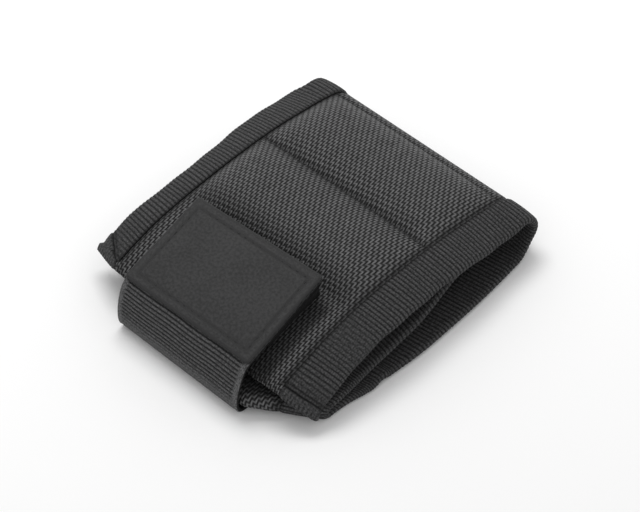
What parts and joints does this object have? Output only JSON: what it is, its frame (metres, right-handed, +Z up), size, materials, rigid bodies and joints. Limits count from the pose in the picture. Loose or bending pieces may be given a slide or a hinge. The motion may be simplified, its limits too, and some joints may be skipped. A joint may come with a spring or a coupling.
{
  "type": "magnetic wristband",
  "caption": "Padded fabric wristband with sewn-in magnets that hold screws and nails, folded into a flat loop and closed by an elastic hook-and-loop strap.",
  "frame": {"origin": "on the ground, under the middle of the closed band", "axes": "+X across the band, +Y along it towards the back fold, +Z up"},
  "size_m": [0.096, 0.11, 0.0278],
  "materials": {
    "outer_fabric": "coarse ballistic nylon weave, matt",
    "binding_tape": "ribbed grosgrain tape, matt",
    "lining": "fine plain weave, matt",
    "foam": "soft closed-cell padding",
    "magnet": "plated magnet block",
    "webbing": "ribbed elastic webbing, matt",
    "hook_pad": "field of small hooks",
    "loop_pad": "brushed loop pile",
    "patch": "smooth matt synthetic leather"
  },
  "bodies": {
    "lower_band": {"lower_shell": "outer_fabric", "lower_lining": "lining", "lower_edge_tape_left": "binding_tape", "lower_edge_tape_right": "binding_tape", "lower_magnet_1_1": "magnet", "lower_magnet_1_2": "magnet", "lower_magnet_1_3": "magnet", "lower_foam_1": "foam", "lower_magnet_2_1": "magnet", "lower_magnet_2_2": "magnet", "lower_magnet_2_3": "magnet", "lower_foam_2": "foam", "strap_base": "webbing"},
    "upper_band": {"upper_shell": "outer_fabric", "upper_lining": "lining", "upper_edge_tape_left": "binding_tape", "upper_edge_tape_right": "binding_tape", "upper_magnet_1_1": "magnet", "upper_magnet_1_2": "magnet", "upper_magnet_1_3": "magnet", "upper_foam_1": "foam", "upper_magnet_2_1": "magnet", "upper_magnet_2_2": "magnet", "upper_magnet_2_3": "magnet", "upper_foam_2": "foam", "loop_pad": "loop_pad"},
    "strap": {"strap_bend": "webbing"},
    "closure_tab": {"tab_webbing": "webbing", "hook_pad": "hook_pad", "patch": "patch"},
    "tail": {"tail_shell": "outer_fabric", "tail_lining": "lining", "tail_edge_tape_left": "binding_tape", "tail_edge_tape_right": "binding_tape", "tail_magnet_1": "magnet", "tail_magnet_2": "magnet", "tail_magnet_3": "magnet"}
  },
  "joints": [
    {"name": "strap_swing", "type": "hinge", "parent": "lower_band", "child": "strap", "pos_m": [0, -0.05361, 0.00338], "axis": [1, 0, 0], "range_deg": [0, 90]},
    {"name": "tab_peel", "type": "hinge", "parent": "strap", "child": "closure_tab", "pos_m": [0, -0.0504, 0.0185], "axis": [1, 0, 0], "range_deg": [0, 76.5]},
    {"name": "band_open", "type": "hinge", "parent": "lower_band", "child": "upper_band", "pos_m": [0, 0.055, 0.0092], "axis": [-1, 0, 0], "range_deg": [0, 22.5]},
    {"name": "tail_lift", "type": "hinge", "parent": "lower_band", "child": "tail", "pos_m": [0, -0.0495, 0.00455], "axis": [1, 0, 0], "range_deg": [0, 10.8]}
  ],
  "couplings": [
    {"joint": "tab_peel", "follows": "strap_swing", "ratio": 0.85},
    {"joint": "band_open", "follows": "strap_swing", "ratio": 0.25},
    {"joint": "tail_lift", "follows": "strap_swing", "ratio": 0.12}
  ]
}
